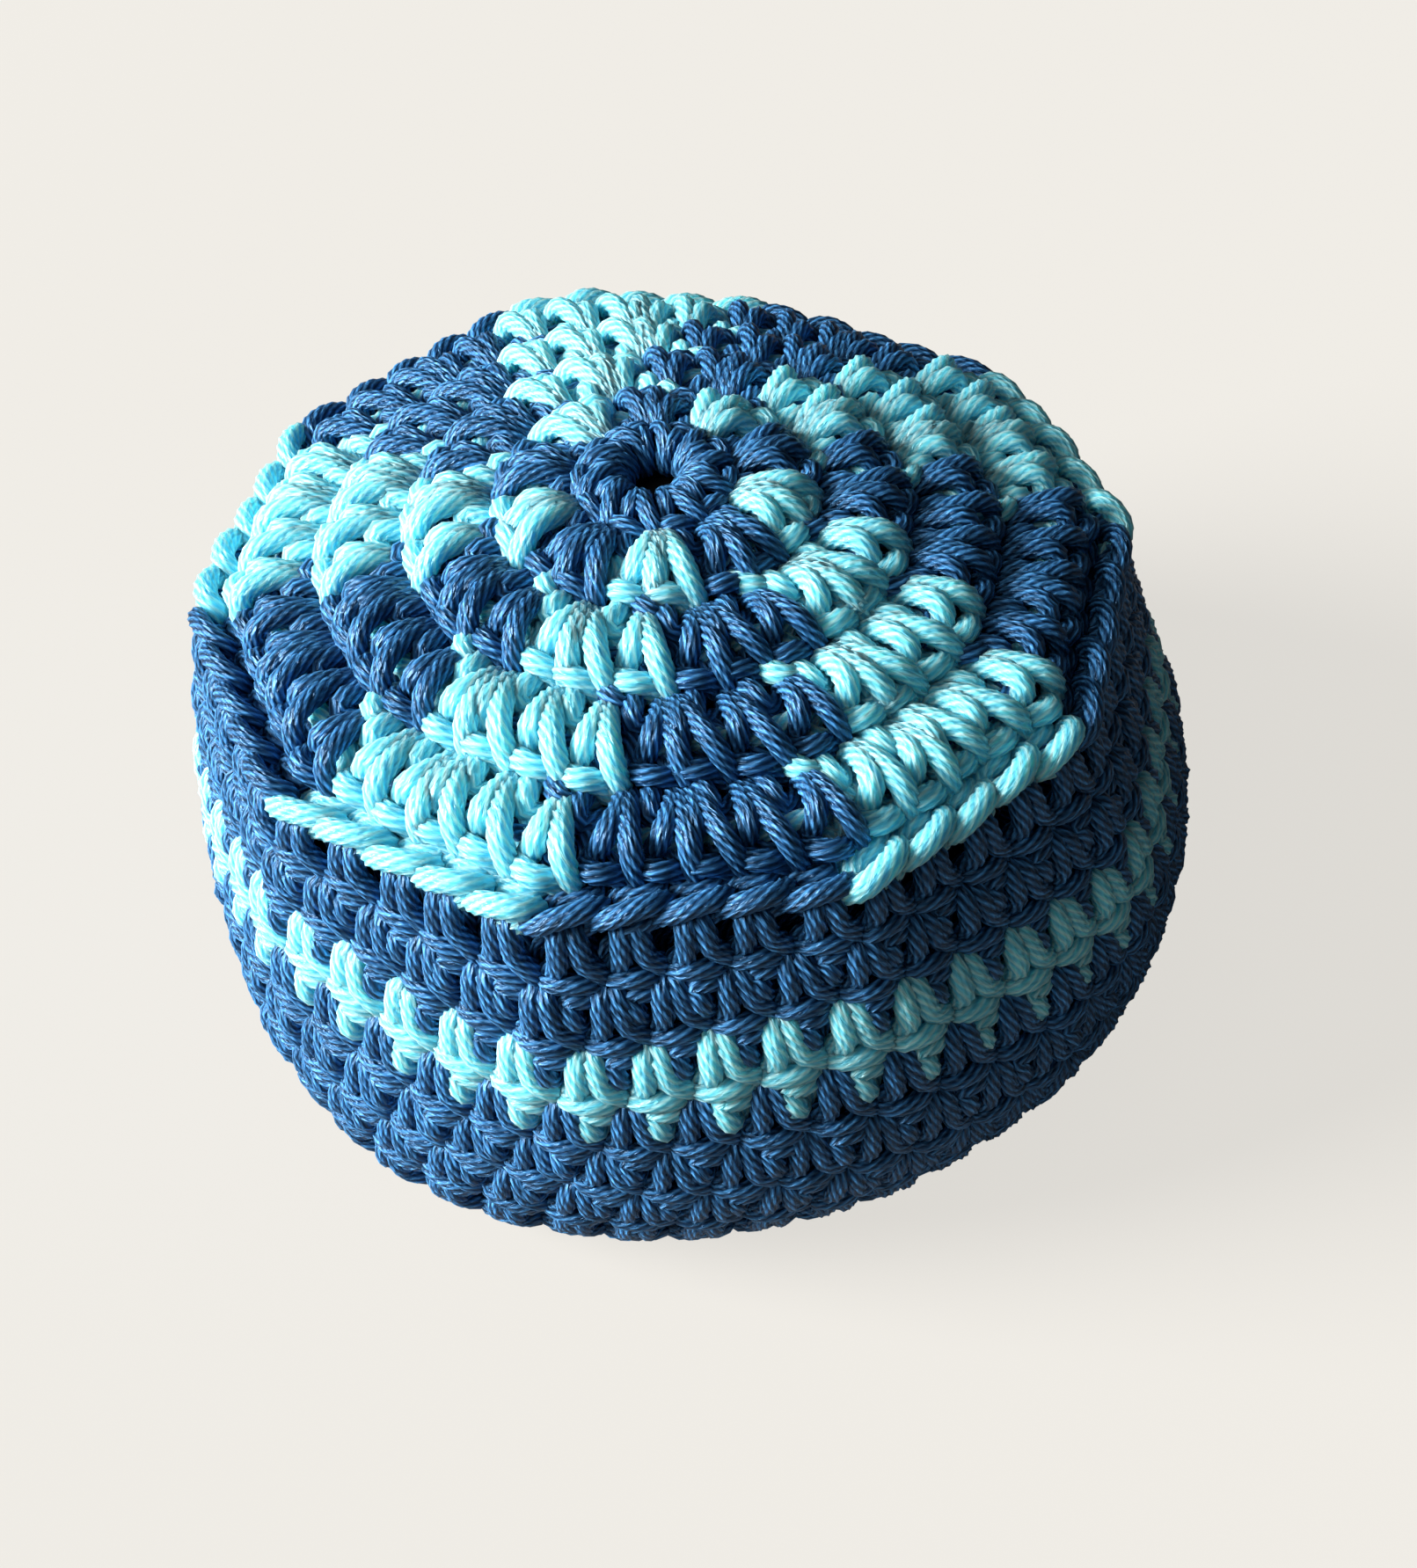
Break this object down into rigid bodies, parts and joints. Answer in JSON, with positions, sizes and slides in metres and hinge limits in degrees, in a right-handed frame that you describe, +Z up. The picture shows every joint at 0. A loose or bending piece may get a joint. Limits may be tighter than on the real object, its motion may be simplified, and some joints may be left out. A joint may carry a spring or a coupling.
{
  "type": "crocheted footbag",
  "caption": "Squat crocheted footbag with swirled two-colour wedges on a ten-sided crown, a stripe round the side, and a tied pouch of pellets inside.",
  "frame": {"origin": "on the ground, under the middle of the widest round", "axes": "+Z up through the crown; the front, which the picture shows nearest, faces -Y"},
  "size_m": [0.0626, 0.0626, 0.0394],
  "materials": {
    "navy_yarn": "mercerised cotton yarn, plied, with a soft lustre",
    "light_blue_yarn": "mercerised cotton yarn, plied, with a soft lustre",
    "liner_cloth": "fine black nylon knit",
    "tie_cord": "twisted cotton cord",
    "pellets": "satin moulded beads"
  },
  "bodies": {
    "root": {"top_centre_ring": "navy_yarn", "light_wedge_1": "light_blue_yarn", "navy_wedge_1": "navy_yarn", "light_wedge_2": "light_blue_yarn", "navy_wedge_2": "navy_yarn", "light_wedge_3": "light_blue_yarn", "navy_wedge_3": "navy_yarn", "light_wedge_4": "light_blue_yarn", "navy_wedge_4": "navy_yarn", "light_wedge_5": "light_blue_yarn", "navy_wedge_5": "navy_yarn", "side_upper_band": "navy_yarn", "side_stripe": "light_blue_yarn", "side_lower_band": "navy_yarn", "bottom_panel": "navy_yarn", "closing_knot": "navy_yarn", "liner_pouch": "liner_cloth", "liner_tie": "tie_cord", "pellet_fill": "pellets", "loose_pellet_01": "pellets", "loose_pellet_02": "pellets", "loose_pellet_03": "pellets", "loose_pellet_04": "pellets", "loose_pellet_05": "pellets", "loose_pellet_06": "pellets", "loose_pellet_07": "pellets", "loose_pellet_08": "pellets", "loose_pellet_09": "pellets", "loose_pellet_10": "pellets", "loose_pellet_11": "pellets", "loose_pellet_12": "pellets", "loose_pellet_13": "pellets", "loose_pellet_14": "pellets", "loose_pellet_15": "pellets", "loose_pellet_16": "pellets", "loose_pellet_17": "pellets", "loose_pellet_18": "pellets", "loose_pellet_19": "pellets"}
  },
  "joints": []
}
